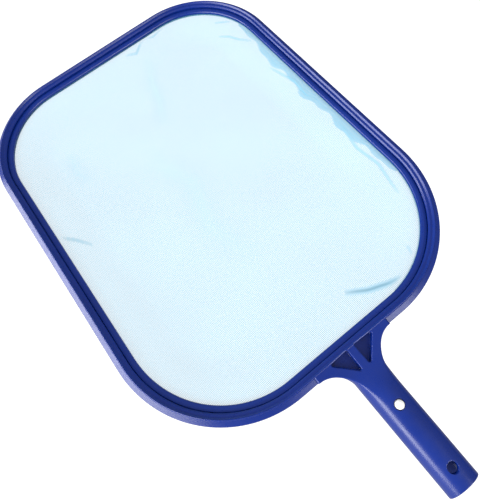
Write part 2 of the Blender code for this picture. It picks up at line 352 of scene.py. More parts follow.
@dataclass(frozen=True)
class MouldedPlastic:
    """Injection-moulded polypropylene: satin gloss with faint flow marks and a fine mould grain."""

    name: str
    deep: tuple
    bright: tuple
    smoothest: float = 0.26
    roughest: float = 0.32
    grain: float = 0.02

    def material(self) -> bpy.types.Material:
        """Builds the material: colour from broad noise, roughness from finer and bump from the finest."""
        made, tree, shader = new_material(self.name)
        place = tree.nodes.new("ShaderNodeTexCoord").outputs["Object"]
        tint = spread(tree, noise(tree, place, 22.0), 0.0, 1.0)
        tree.links.new(two_colours(tree, tint, self.deep, self.bright), shader.inputs["Base Color"])
        shine = spread(tree, noise(tree, place, 160.0, 4.0), self.smoothest, self.roughest)
        tree.links.new(shine, shader.inputs["Roughness"])
        bump(tree, noise(tree, place, 900.0, 2.0), self.grain, 0.00008)
        shader.inputs["IOR"].default_value = 1.49
        return made


@dataclass(frozen=True)
class DrawnSteel:
    """Rolled spring strip: bright metal with fine lines along the leaf."""

    name: str = "spring_finish"
    colour: tuple = (0.58, 0.59, 0.61)

    def material(self) -> bpy.types.Material:
        """Builds the material: the roll lines are noise stretched along Y."""
        made, tree, shader = new_material(self.name)
        place = tree.nodes.new("ShaderNodeTexCoord").outputs["Object"]
        stretch = tree.nodes.new("ShaderNodeMapping")
        stretch.inputs["Scale"].default_value = (1, 0.03, 1)
        tree.links.new(place, stretch.inputs["Vector"])
        lines = noise(tree, stretch.outputs["Vector"], 5200.0, 2.0)
        tree.links.new(spread(tree, lines, 0.22, 0.38), shader.inputs["Roughness"])
        tint = spread(tree, noise(tree, place, 300.0), 0.0, 1.0)
        dark = tuple(part * 0.86 for part in self.colour)
        tree.links.new(two_colours(tree, tint, dark, self.colour), shader.inputs["Base Color"])
        bump(tree, lines, 0.15, 0.00003)
        shader.inputs["Metallic"].default_value = 1.0
        return made


@dataclass(frozen=True)
class WovenNet:
    """Knitted polyethylene net on the piece's UV map, whose unit is a metre: pale threads with open gaps."""

    name: str = "net_finish"
    pitch: float = 1.1 * MM
    thread: tuple = (0.16, 0.44, 0.60)
    shade: tuple = (0.14, 0.40, 0.56)
    gap_cover: float = 0.38
    thread_cover: float = 0.58

    def wave(self, tree: Tree, along: Output) -> Output:
        """The thread's height across one way: half a cosine of the distance over the pitch, plus a half."""
        turn = tree.nodes.new("ShaderNodeMath")
        turn.operation = "MULTIPLY"
        turn.inputs[1].default_value = 2 * math.pi / self.pitch
        tree.links.new(along, turn.inputs[0])
        cosine = tree.nodes.new("ShaderNodeMath")
        cosine.operation = "COSINE"
        tree.links.new(turn.outputs[0], cosine.inputs[0])
        lift = tree.nodes.new("ShaderNodeMath")
        lift.operation = "MULTIPLY_ADD"
        lift.inputs[1].default_value = 0.5
        lift.inputs[2].default_value = 0.5
        tree.links.new(cosine.outputs[0], lift.inputs[0])
        return lift.outputs[0]

    def material(self) -> bpy.types.Material:
        """Builds the material, whose colour varies in soft patches.

        The cover of one layer comes from the higher of the two threads. What is seen through the cloth is
        the open share to the power of the layers attribute, which counts how many times the cloth lies over
        itself.
        """
        made, tree, shader = new_material(self.name)
        uv = tree.nodes.new("ShaderNodeUVMap")
        uv.uv_map = "UVMap"
        parts = tree.nodes.new("ShaderNodeSeparateXYZ")
        tree.links.new(uv.outputs["UV"], parts.inputs[0])
        higher = tree.nodes.new("ShaderNodeMath")
        higher.operation = "MAXIMUM"
        for slot, axis in enumerate("XY"):
            tree.links.new(self.wave(tree, parts.outputs[axis]), higher.inputs[slot])
        cover = tree.nodes.new("ShaderNodeMapRange")
        cover.interpolation_type = "SMOOTHSTEP"
        cover.inputs["From Min"].default_value = 0.55
        cover.inputs["From Max"].default_value = 0.8
        cover.inputs["To Min"].default_value = self.gap_cover
        cover.inputs["To Max"].default_value = self.thread_cover
        tree.links.new(higher.outputs[0], cover.inputs["Value"])
        open_share = tree.nodes.new("ShaderNodeMath")
        open_share.operation = "SUBTRACT"
        open_share.inputs[0].default_value = 1.0
        tree.links.new(cover.outputs["Result"], open_share.inputs[1])
        layers = tree.nodes.new("ShaderNodeAttribute")
        layers.attribute_name = "layers"
        seen_through = tree.nodes.new("ShaderNodeMath")
        seen_through.operation = "POWER"
        tree.links.new(open_share.outputs[0], seen_through.inputs[0])
        tree.links.new(layers.outputs["Fac"], seen_through.inputs[1])
        hidden = tree.nodes.new("ShaderNodeMath")
        hidden.operation = "SUBTRACT"
        hidden.inputs[0].default_value = 1.0
        tree.links.new(seen_through.outputs[0], hidden.inputs[1])
        tree.links.new(hidden.outputs[0], shader.inputs["Alpha"])
        tint = spread(tree, noise(tree, uv.outputs["UV"], 14.0, 2.0), 0.0, 1.0)
        tree.links.new(two_colours(tree, tint, self.shade, self.thread), shader.inputs["Base Color"])
        bump(tree, higher.outputs[0], 0.1, 0.0001)
        shader.inputs["Roughness"].default_value = 0.55
        shader.inputs["Sheen Weight"].default_value = 0.1
        return made


class Finish(Enum):
    """The finishes of the skimmer's pieces."""

    FRAME = MouldedPlastic("frame_finish", (0.003, 0.019, 0.176), (0.004, 0.022, 0.198))
    RING = MouldedPlastic("ring_finish", (0.003, 0.021, 0.186), (0.004, 0.024, 0.208))
    NYLON = MouldedPlastic("button_finish", (0.80, 0.80, 0.79), (0.86, 0.86, 0.85), 0.3, 0.42, 0.05)
    STEEL = DrawnSteel()
    NET = WovenNet()


def dress(piece: Piece, finish: Finish, sharp: Optional[float] = 35.0) -> None:
    """Gives a piece its finish, in its one material slot, and its sharp edges.

    Args:
        piece: The object.
        finish: Which finish it has.
        sharp: Degrees past which an edge stays sharp, or None for a piece that is smooth all over.
    """
    piece.data.materials.clear()
    piece.data.materials.append(bpy.data.materials.get(finish.value.name) or finish.value.material())
    piece.data.shade_smooth()
    if sharp is not None:
        piece.data.set_sharp_from_angle(angle=math.radians(sharp))
        even = piece.modifiers.new("even_shading", "WEIGHTED_NORMAL")
        even.keep_sharp = True


# ---------------------------------------------------------------- the moulded frame


@dataclass
class Socket:
    """Sizes of the tubular socket and the gusset that carries it."""

    axis_z: float = 15.9 * MM
    length: float = 117.4 * MM
    root_radius: float = 14.2 * MM
    mouth_radius: float = 13.4 * MM
    bore_depth: float = 100.3 * MM
    bore_mouth_radius: float = 10.6 * MM
    bore_end_radius: float = 10.2 * MM
    mouth_rounding: float = 0.4 * MM
    mouth_slant: float = 0.35
    slant_length: float = 45.0 * MM
    bore_foot: float = 2.0 * MM
    bore_lip: float = 0.7 * MM
    hole_radius: float = 4.0 * MM
    hole_rounding: float = 0.4 * MM
    spare_hole_from_mouth: float = 23.5 * MM
    hole_spacing: float = 49.6 * MM
    fillet_radius: float = 22.0 * MM
    plate_rounding: float = 1.6 * MM
    plate_top: float = 27.1 * MM
    plate_bottom: float = 19.6 * MM
    web_bottom: float = 14.0 * MM
    web_wall: float = 2.2 * MM
    blend_start: float = 5.0 * MM
    blend_length: float = 34.0 * MM
    root_overlap: float = 3.4 * MM
    edge_turns: tuple = (0.75, 1.05)


@dataclass
class FrameMoulding:
    """The one-piece moulding: rim with its double-edged top, gusset with two pockets, and socket."""

    path: RimPath = field(default_factory=RimPath)
    socket: Socket = field(default_factory=Socket)
    edge_z: float = 25.6 * MM
    lip_reach: float = 9.2 * MM
    pocket_floor: float = 21.6 * MM
    pocket_rib_half: float = 3.2 * MM
    pocket_half_width: float = 22.2 * MM
    pocket_length: float = 18.8 * MM
    pocket_corner: float = 1.4 * MM
    pocket_lip: float = 0.6 * MM
    pocket_foot: float = 0.9 * MM
    pocket_set_back: float = 3.6 * MM
    pocket_skew: float = 0.6 * MM
    pocket_tip_shift: float = 0.5 * MM
    hollow_set_back: float = 6.4 * MM
    hollow_in_tube: float = 3.0 * MM
    hollow_reach: float = 5.0 * MM
    hollow_turns: tuple = (0.2, 1.3)
    cutter_reach: float = 3.0 * MM
    sides: int = 192

    @property
    def handle_edge_y(self) -> float:
        """Where the path's handle side lies."""
        return self.path.centre_y - self.path.half_length

    @property
    def lip_y(self) -> float:
        """Where the flange's outer edge lies on the handle side."""
        return self.handle_edge_y - self.lip_reach

    @property
    def mouth_y(self) -> float:
        """The open end of the socket."""
        return self.lip_y - self.socket.length

    @property
    def spare_hole_y(self) -> float:
        """The empty cross hole's place along the socket."""
        return self.mouth_y + self.socket.spare_hole_from_mouth

    @property
    def button_y(self) -> float:
        """The button's place along the socket."""
        return self.spare_hole_y + self.socket.hole_spacing

    def section(self) -> np.ndarray:
        """The rim's section with each corner rounded, as (outwards, height) in metres.

        It starts at the inner top edge and goes outwards over the ridge and the flange, down the skirt, and
        back up to the ledge that the ring sits on.
        """
        corners_and_radii = np.array(
            [
                (0.0, 0.0, 0.4),
                (1.9, 0.2, 0.5),
                (2.8, 1.6, 0.3),
                (3.2, 2.0, 0.4),
                (3.8, 1.6, 0.5),
                (4.5, -0.2, 0.6),
                (8.8, -2.0, 0.4),
                (9.2, -2.6, 0.4),
                (8.9, -3.9, 0.4),
                (5.4, -4.4, 0.8),
                (5.2, -12.4, 0.9),
                (2.0, -12.4, 0.9),
                (1.6, -8.6, 0.5),
                (-4.4, -8.2, 0.5),
                (-4.7, -6.9, 0.5),
                (-0.4, -6.9, 0.3),
                (-0.4, -2.5, 0.3),
                (-0.9, -2.1, 0.3),
                (-0.9, -1.15, 0.3),
            ]
        )
        return rounded_profile(corners_and_radii[:, :2], corners_and_radii[:, 2]) * MM

    def socket_radius(self, y: np.ndarray) -> np.ndarray:
        """The tube's outer radius, which falls evenly from root to mouth."""
        share = (self.lip_y - y) / self.socket.length
        return self.socket.root_radius + share * (self.socket.mouth_radius - self.socket.root_radius)

    def stations(self) -> tuple[np.ndarray, np.ndarray, np.ndarray]:
        """The places along the socket where a cross-section is taken.

        The first lie on the fillet, where the half width is the tube's radius plus the fillet's radius
        times one less the sine of its turn. The rest follow the taper and end in a quarter circle at the
        mouth.

        Returns:
            Each station's y, half width and half height.
        """
        turn = np.linspace(0, math.pi / 2, 26)
        fillet_y = self.lip_y - self.socket.fillet_radius * (1 - np.cos(turn))
        fillet_width = self.socket_radius(fillet_y) + self.socket.fillet_radius * (1 - np.sin(turn))
        tube_y = np.linspace(fillet_y[-1], self.mouth_y + self.socket.mouth_rounding, 46)[1:]
        inside, below = quarter(self.socket.mouth_rounding)
        end_y = self.mouth_y + below[1:]
        end_radius = self.socket_radius(end_y) - inside[1:]
        root_y = self.handle_edge_y - self.socket.root_overlap
        y = np.concatenate([[root_y], fillet_y, tube_y, end_y])
        width = np.concatenate([fillet_width[:1], fillet_width, self.socket_radius(tube_y), end_radius])
        tall = np.concatenate([self.socket_radius(y[: -len(end_y)]), end_radius])
        return y, width, tall

    def body(self) -> Piece:
        """The gusset and the tube in one skin.

        Each cross-section mixes a rounded rectangle, from the web's foot to the plate, with an ellipse that
        is as wide and becomes the tube. The share of the ellipse grows along a smooth step from the fillet
        outwards. The underside is never higher than the tube's. Near the mouth a point moves back by its
        height over the tube's underside times a growing share of the slant.
        """
        y, width, tall = self.stations()
        turn = np.arange(self.sides) * 2 * math.pi / self.sides
        share = smooth_step((self.lip_y - self.socket.blend_start - y) / self.socket.blend_length)[:, None]
        half_height = (self.socket.plate_top - self.socket.web_bottom) / 2
        middle = (self.socket.plate_top + self.socket.web_bottom) / 2
        quadrant = np.abs(np.mod(turn + math.pi / 2, math.pi) - math.pi / 2)
        edge = self.socket.plate_rounding
        edge_from, edge_to = self.socket.edge_turns
        knots = np.concatenate([[0], np.linspace(edge_from, edge_to, 7), [math.pi / 2]])
        arc = np.linspace(0, math.pi / 2, 7)
        climb = np.concatenate([[0], half_height - edge + edge * np.sin(arc), [half_height]])
        up = np.interp(quadrant, knots, climb)
        from_side = np.interp(quadrant, knots, np.concatenate([[0], edge * (1 - np.cos(arc)), [edge]]))
        flat = (width[:, None] - edge) * (1 - np.interp(quadrant, [edge_to, math.pi / 2], [0, 1]))
        box_x = np.where(quadrant <= edge_to, width[:, None] - from_side, flat)
        box_x = box_x * np.sign(np.cos(turn))
        box_z = up * np.sign(np.sin(turn))
        round_x = width[:, None] * np.cos(turn)
        round_z = tall[:, None] * np.sin(turn)
        x = box_x * (1 - share) + round_x * share
        z = (box_z + middle) * (1 - share) + (round_z + self.socket.axis_z) * share
        under = self.socket.axis_z - np.sqrt(np.maximum(tall[:, None] ** 2 - x**2, 0))
        z = np.where((np.sin(turn) < 0) & (np.abs(x) < tall[:, None]), np.minimum(z, under), z)
        slant_length = self.socket.slant_length
        slanted = smooth_step((self.mouth_y + slant_length - y) / slant_length)[:, None]
        slanted = slanted * self.socket.mouth_slant
        rows = np.stack([x, y[:, None] + slanted * (z - z.min(axis=1, keepdims=True)), z], axis=2)
        return loft("gusset_and_tube", rows)

    def hollow(self, side: int) -> Piece:
        """The space under half of the gusset plate, between the rim's skirt, the tube and the web."""
        radius = self.socket.fillet_radius + self.socket.web_wall
        across = self.socket.root_radius + self.socket.fillet_radius - self.socket.mouth_rounding
        centre = np.array([side * across, self.lip_y - self.socket.fillet_radius])
        turn = np.linspace(*self.hollow_turns, 24)
        arc = centre + radius * np.stack([-side * np.sin(turn), np.cos(turn)], axis=1)
        skirt_y = self.handle_edge_y - self.hollow_set_back
        inner = side * (self.socket.root_radius - self.hollow_in_tube)
        outline = np.concatenate([[[arc[0, 0], skirt_y]], arc, [[inner, arc[-1, 1]], [inner, skirt_y]]])
        levels = np.array([self.socket.web_bottom - self.hollow_reach, self.socket.plate_bottom])
        return prism(f"gusset_hollow_{side}", outline, levels)

    def pocket(self, side: int) -> Piece:
        """The cutter for one triangular pocket, with a rounded foot and a flared lip.

        Row by row the triangle's outline is moved outwards: by nothing along the wall, inwards by a quarter
        circle at the foot and outwards by a flare at the lip.
        """
        near = self.handle_edge_y - self.pocket_set_back
        corners = [
            (side * self.pocket_rib_half, near),
            (side * self.pocket_half_width, near - self.pocket_skew),
            (side * (self.pocket_rib_half + self.pocket_tip_shift), near - self.pocket_length),
        ]
        foot_in, foot_up = quarter(self.pocket_foot)
        lip_out, lip_down = flare(self.pocket_lip)
        grow = np.concatenate([-foot_in[::-1], lip_out, lip_out[-1:]])
        height = np.concatenate(
            [
                self.pocket_floor + foot_up[::-1],
                self.socket.plate_top - lip_down,
                [self.socket.plate_top + self.cutter_reach],
            ]
        )
        centre = np.mean(corners, axis=0)
        outline = rounded_profile(corners, [self.pocket_corner] * 3, 9)
        spoke = outline - centre
        away = np.roll(outline, -1, axis=0) - np.roll(outline, 1, axis=0)
        away = np.stack([away[:, 1], -away[:, 0]], axis=1)
        away *= np.sign((away * spoke).sum(1))[:, None] / np.linalg.norm(away, axis=1)[:, None]
        plan = outline[None] + away[None] * grow[:, None, None]
        return loft(f"pocket_{side}", raised(plan, height))

    def bore(self) -> Piece:
        """The cutter for the tapered bore, with a rounded blind end and a flared mouth."""
        foot_in, foot_up = quarter(self.socket.bore_foot)
        lip_out, lip_down = flare(self.socket.bore_lip)
        end_y = self.mouth_y + self.socket.bore_depth
        outside_y = self.mouth_y - self.cutter_reach
        y = np.concatenate([end_y - foot_up[::-1], self.mouth_y + lip_down, [outside_y]])
        radius = np.concatenate(
            [
                self.socket.bore_end_radius - foot_in[::-1],
                self.socket.bore_mouth_radius + lip_out,
                [self.socket.bore_mouth_radius + lip_out[-1]],
            ]
        )
        turn = np.linspace(0, 2 * math.pi, 64, endpoint=False)
        x = radius[:, None] * np.cos(turn)
        z = radius[:, None] * np.sin(turn) + self.socket.axis_z
        return loft("bore", np.stack([x, np.broadcast_to(y[:, None], x.shape), z], axis=2))

    def hole(self, name: str, y: float) -> Piece:
        """The cutter for a hole through both walls, whose ends flare along the tube's round surface.

        A row's height is the tube's height at each of its points, less what the lip takes off.
        """
        out, down = flare(self.socket.hole_rounding)
        radius = np.concatenate([out[-1:], out[::-1]]) + self.socket.hole_radius
        below = np.concatenate([[-self.cutter_reach], down[::-1]])
        turn = np.linspace(0, 2 * math.pi, 48, endpoint=False)
        x = radius[:, None] * np.cos(turn)
        place = y + radius[:, None] * np.sin(turn)
        tube = self.socket_radius(place)
        height = np.sqrt(tube**2 - x**2) - below[:, None]
        upper = np.stack([x, place, self.socket.axis_z + height], axis=2)
        lower = np.stack([x, place, self.socket.axis_z - height], axis=2)[::-1]
        return loft(name, np.concatenate([upper, lower]))

    def build(self) -> Piece:
        """Joins the rim, the gusset and the tube, makes the cuts one by one, and dresses the result."""
        moulding = closed_ring("frame_moulding", self.path.carry(self.section(), self.edge_z))
        combine(moulding, self.body(), "UNION")
        for side in (1, -1):
            combine(moulding, self.hollow(side), "DIFFERENCE")
            combine(moulding, self.pocket(side), "DIFFERENCE")
        combine(moulding, self.bore(), "DIFFERENCE")
        combine(moulding, self.hole("button_hole", self.button_y), "DIFFERENCE")
        combine(moulding, self.hole("spare_hole", self.spare_hole_y), "DIFFERENCE")
        dress(moulding, Finish.FRAME)
        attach(moulding, "root")
        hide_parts("frame")
        return moulding


# ---------------------------------------------------------------- the ring and the net


@dataclass
class NetRing:
    """The ring that snaps in over the net's hem and holds it on the frame's ledge."""

    path: RimPath = field(default_factory=RimPath)
    edge_z: float = 25.6 * MM

    def build(self) -> Piece:
        """Carries the ring's rounded section round the path and dresses it."""
        corners_and_radii = np.array(
            [
                (-0.7, -5.9, 0.3),
                (-0.7, -3.3, 0.4),
                (-1.2, -2.8, 0.4),
                (-3.4, -2.6, 0.8),
                (-5.3, -3.0, 0.8),
                (-5.8, -3.9, 0.6),
                (-5.8, -5.2, 0.5),
                (-5.4, -5.9, 0.4),
            ]
        )
        section = rounded_profile(corners_and_radii[:, :2], corners_and_radii[:, 2], 6) * MM
        ring = closed_ring("retaining_ring", self.path.carry(section, self.edge_z))
        dress(ring, Finish.RING)
        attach(ring, "root")
        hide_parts("net_ring")
        return ring


@dataclass(frozen=True)
class Pleat:
    """Spare cloth pressed flat along a line.

    It holds the line's points in plan and the fold's width, both in millimetres, how many layers it adds,
    and how far the cloth is drawn in and lifted there.
    """

    line: tuple
    width: float
    layers: float = 1.6
    gather: float = 0.3
    lift: float = 0.2 * MM


@dataclass
class Net:
    """The shallow bag: a hem under the ring, a gentle side and a slack bottom with pleats of spare cloth."""

    path: RimPath = field(default_factory=RimPath)
    edge_z: float = 25.6 * MM
    hem_drop: float = 6.4 * MM
    side_start: float = 5.5 * MM
    side_end: float = 45.0 * MM
    bottom_drop: float = 12.9 * MM
    sag: float = 3.6 * MM
    hem_start: float = 1.1 * MM
    ripple: float = 0.5 * MM
    ripple_rows: tuple = (8, 40)
    pleat_rows: tuple = (5, 9)
    corner_steps: int = 92
    side_steps: int = 64
    tuck_width: float = 8.5 * MM
    tuck_edge: float = 1.2 * MM
    tuck_streak: float = 0.55 * MM
    tuck_middle_y: float = 70.0
    tuck_half_length: float = 115.0
    tuck_from_x: float = 60.0
    pleats: tuple = (
        Pleat(((38, 241), (57, 234), (73, 238), (90, 237), (104, 230)), 0.7),
        Pleat(((20, 233), (31, 228), (42, 236), (60, 240)), 0.7, 1.2),
        Pleat(((118, 205), (127, 198), (136, 191), (143, 185)), 0.6, 1.2),
        Pleat(((112, 190), (120, 181), (125, 170), (133, 158)), 0.6, 1.2),
        Pleat(((126, 120), (133, 90), (131, 66)), 0.7, 1.3),
        Pleat(((133, 22), (128, -5), (131, -30), (124, -62)), 0.7, 1.5),
        Pleat(((95, -100), (91, -114), (83, -119), (66, -121)), 0.8, 1.4),
        Pleat(((76, -118), (60, -114), (44, -108), (28, -98)), 1.5, 2.4, 0.4, 0.5 * MM),
        Pleat(((-137, 96), (-127, 86), (-118, 74)), 0.8, 1.3),
        Pleat(((39, 217), (24, 190), (18, 168), (4, 140)), 5.0, 0.18, 0.3, 0.3 * MM),
        Pleat(((-88, 175), (-92, 153), (-90, 133)), 5.0, 0.18, 0.3, 0.3 * MM),
        Pleat(((-30, 120), (-10, 70), (-24, 20), (-6, -30)), 9.0, 0.12, 0.2, 0.4 * MM),
    )

    def profile(self) -> np.ndarray:
        """The cloth's profile near the rim: distance inwards and drop below the edge, in metres.

        The hem is flat. The side then falls along a smooth step to the bottom's level.
        """
        hem = np.linspace(self.hem_start, self.side_start, 4)[:-1]
        side = np.linspace(self.side_start, self.side_end, 60)
        inwards = np.concatenate([hem, side])
        fall = smooth_step((inwards - self.side_start) / (self.side_end - self.side_start))
        return np.stack([inwards, self.hem_drop + fall * (self.bottom_drop - self.hem_drop)], axis=1)

    def surface(self) -> tuple[np.ndarray, np.ndarray]:
        """The unfolded cloth, row by row from the hem to the middle.

        The outer rows follow the path at the profile's distances. The inner rows are the last of those scaled
        towards the centre, and they sag by the sag times one less the square of the scale.

        Returns:
            The points as rows, columns and x, y, z, and each row's drop-free plan for the UV map.
        """
        points, normals = self.path.sample(self.corner_steps, self.side_steps)
        profile = self.profile()
        outer = points[None] - normals[None] * profile[:, 0, None, None]
        centre = np.array([0, self.path.centre_y])
        scale = np.concatenate([np.linspace(1, 0.7, 36)[1:], np.linspace(0.7, 0.005, 30)[1:]])
        inner = centre + (outer[-1][None] - centre) * scale[:, None, None]
        plan = np.concatenate([outer, inner])
        drop = np.concatenate([profile[:, 1], self.bottom_drop + self.sag * (1 - scale**2)])
        stretch = np.concatenate([[0], np.cumsum(np.linalg.norm(np.diff(profile, axis=0), axis=1))])
        spare = (stretch - stretch[-1] + (profile[-1, 0] - profile[:, 0]))[:, None, None]
        flat = plan.copy()
        flat[: len(profile)] -= normals[None] * spare
        return raised(plan, self.edge_z - drop), flat

    def tuck(self, rows: np.ndarray) -> np.ndarray:
        """How many more layers lie along the right side, where the spare hem is tucked in under the ring.

        The tuck is as wide as its width times a long arch of y and two finer sines of y that make its edge
        uneven. It adds a layer inside that, and nearly another one in streaks that follow the edge.

        Args:
            rows: The cloth's points.

        Returns:
            The layers added at each point.
        """
        x, y = rows[..., 0] / MM, rows[..., 1] / MM
        inwards = np.linalg.norm(rows[..., :2] - rows[:1, :, :2], axis=2)
        arch = np.sqrt(np.clip(1 - ((y - self.tuck_middle_y) / self.tuck_half_length) ** 2, 0, 1))
        uneven = 1 + 0.28 * np.sin(y / 9.0) + 0.16 * np.sin(y / 3.7 + 1)
        width = self.tuck_width * arch * uneven + self.side_start
        inside = smooth_step((width - inwards) / self.tuck_edge) * (x > self.tuck_from_x)
        streak = 0.5 + 0.5 * np.sin((width - inwards) / self.tuck_streak + np.sin(y / 6.0))
        return inside * (1.0 + 0.9 * streak)

    def fold(self, rows: np.ndarray) -> tuple[np.ndarray, np.ndarray]:
        """Presses the pleats into the cloth.

        Near a pleat's line a point moves towards the line by gather times its distance times a bell curve
        of the distance. It also rises on one side and sinks on the other. The same bell curve gives the
        added layers. The hem doesn't move.

        Args:
            rows: The cloth's points.

        Returns:
            The folded points, and how many layers lie at each.
        """
        layers = 1 + self.tuck(rows)
        first, spread_over = self.pleat_rows
        free = smooth_step((np.arange(len(rows)) - first) / spread_over)[:, None]
        for pleat in self.pleats:
            line = np.array(pleat.line) * MM
            width = pleat.width * MM
            best = np.full(rows.shape[:2], np.inf)
            offset = np.zeros((*rows.shape[:2], 2))
            along = np.zeros(rows.shape[:2])
            side = np.ones(rows.shape[:2])
            total = len(line) - 1
            for index, (start, end) in enumerate(zip(line[:-1], line[1:])):
                step = end - start
                share = np.clip((rows[..., :2] - start) @ step / (step @ step), 0, 1)
                away = rows[..., :2] - (start + share[..., None] * step)
                distance = np.linalg.norm(away, axis=2)
                nearer = distance < best
                best = np.where(nearer, distance, best)
                offset = np.where(nearer[..., None], away, offset)
                along = np.where(nearer, (index + share) / total, along)
                turn = step[0] * away[..., 1] - step[1] * away[..., 0]
                side = np.where(nearer, np.sign(turn), side)
            taper = np.sqrt(np.clip(np.sin(math.pi * along), 0, 1)) * free
            ratio = best / width
            bell = np.exp(-(ratio**2) / 2)
            rows[..., :2] -= offset * (pleat.gather * bell * taper)[..., None]
            rows[..., 2] += side * pleat.lift * ratio * np.exp(0.5) * bell * taper
            layers += pleat.layers * bell * taper
        return rows, layers

    def ripples(self, rows: np.ndarray) -> np.ndarray:
        """Long shallow waves, which fade in from the hem.

        A sine of x times a sine of y, each bent by a slower sine of the other, plus 0.6 times a sine of
        both. The divisors are millimetres for each radian.

        Args:
            rows: The cloth's points.

        Returns:
            How far each point rises, in metres.
        """
        x, y = rows[..., 0] / MM, rows[..., 1] / MM
        wave_x = np.sin(x / 17 + np.sin(y / 31))
        wave_y = np.sin(y / 23 + 1.3 * np.sin(x / 41))
        wave = wave_x * wave_y + 0.6 * np.sin((x + 1.7 * y) / 27)
        first, spread_over = self.ripple_rows
        return self.ripple * wave * smooth_step((np.arange(len(rows)) - first) / spread_over)[:, None]

    def build(self) -> Piece:
        rows, flat = self.surface()
        rows[..., 2] += self.ripples(rows)
        rows, layers = self.fold(rows)
        count, columns = rows.shape[:2]
        points = np.concatenate([rows.reshape(-1, 3), rows[-1:].mean(axis=1)])
        quads = grid_faces(count, columns, False, True)
        last = (count - 1) * columns + np.arange(columns)
        fan = np.stack([last, np.roll(last, -1), np.full(columns, len(points) - 1)], axis=1)
        net = mesh_object("net_cloth", points, quads.tolist() + fan.tolist(), outwards=False)
        if net.data.polygons[0].normal.z < 0:
            net.data.flip_normals()
        place = np.concatenate([flat.reshape(-1, 2), flat[-1:].mean(axis=1)])
        corner = np.empty(len(net.data.loops), np.int32)
        net.data.loops.foreach_get("vertex_index", corner)
        layer = net.data.uv_layers.new(name="UVMap")
        layer.uv.foreach_set("vector", place[corner].astype(np.float32).ravel())
        count_of_layers = net.data.attributes.new("layers", "FLOAT", "POINT")
        count_of_layers.data.foreach_set("value", np.append(layers.ravel(), 1.0).astype(np.float32))
        dress(net, Finish.NET, sharp=None)
        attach(net, "root")
        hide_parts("net")
        return net


# ---------------------------------------------------------------- the sprung clip


class Side(Enum):
    """The two legs of the clip, and which way each one's button points."""

    FRONT = 1
    BACK = -1


